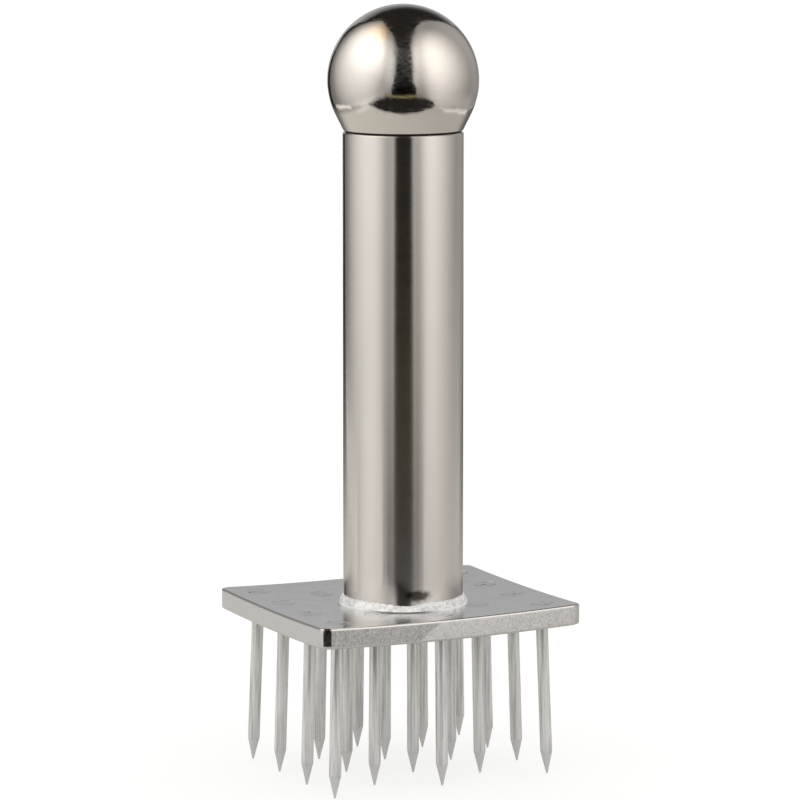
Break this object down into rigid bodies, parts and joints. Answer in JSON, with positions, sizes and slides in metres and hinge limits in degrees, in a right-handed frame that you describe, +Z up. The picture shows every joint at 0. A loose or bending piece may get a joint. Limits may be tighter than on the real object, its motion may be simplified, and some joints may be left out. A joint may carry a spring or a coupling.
{
  "type": "pin meat tenderizer",
  "caption": "Stainless steel pin meat tenderizer: a thick rectangular plate with staggered pointed pins below and a round tube handle with a polished ball knob above.",
  "frame": {"origin": "on the level of the pin tips, below the middle of the plate", "axes": "+Z up the handle, X along the long side of the plate, Y along its short side"},
  "size_m": [0.0764, 0.065, 0.2051],
  "materials": {
    "polished_steel": "mirror polished stainless steel",
    "brushed_tube": "satin brushed stainless steel",
    "ground_plate": "ground stainless steel, plug welds ground flush",
    "drawn_pin": "drawn stainless steel rod with ground points",
    "weld_bead": "bright fillet weld",
    "turned_steel": "turned stainless steel, out of sight"
  },
  "bodies": {
    "root": {"ball_knob": "polished_steel", "knob_spigot": "turned_steel", "handle_tube": "brushed_tube", "handle_weld": "weld_bead", "needle_plate": "ground_plate", "plug_welds": "ground_plate", "pin_row1_1": "drawn_pin", "pin_row1_2": "drawn_pin", "pin_row1_3": "drawn_pin", "pin_row1_4": "drawn_pin", "pin_row2_1": "drawn_pin", "pin_row2_2": "drawn_pin", "pin_row2_3": "drawn_pin", "pin_row3_1": "drawn_pin", "pin_row3_2": "drawn_pin", "pin_row3_3": "drawn_pin", "pin_row3_4": "drawn_pin", "pin_row4_1": "drawn_pin", "pin_row4_2": "drawn_pin", "pin_row4_3": "drawn_pin", "pin_row5_1": "drawn_pin", "pin_row5_2": "drawn_pin", "pin_row5_3": "drawn_pin", "pin_row5_4": "drawn_pin"}
  },
  "joints": []
}
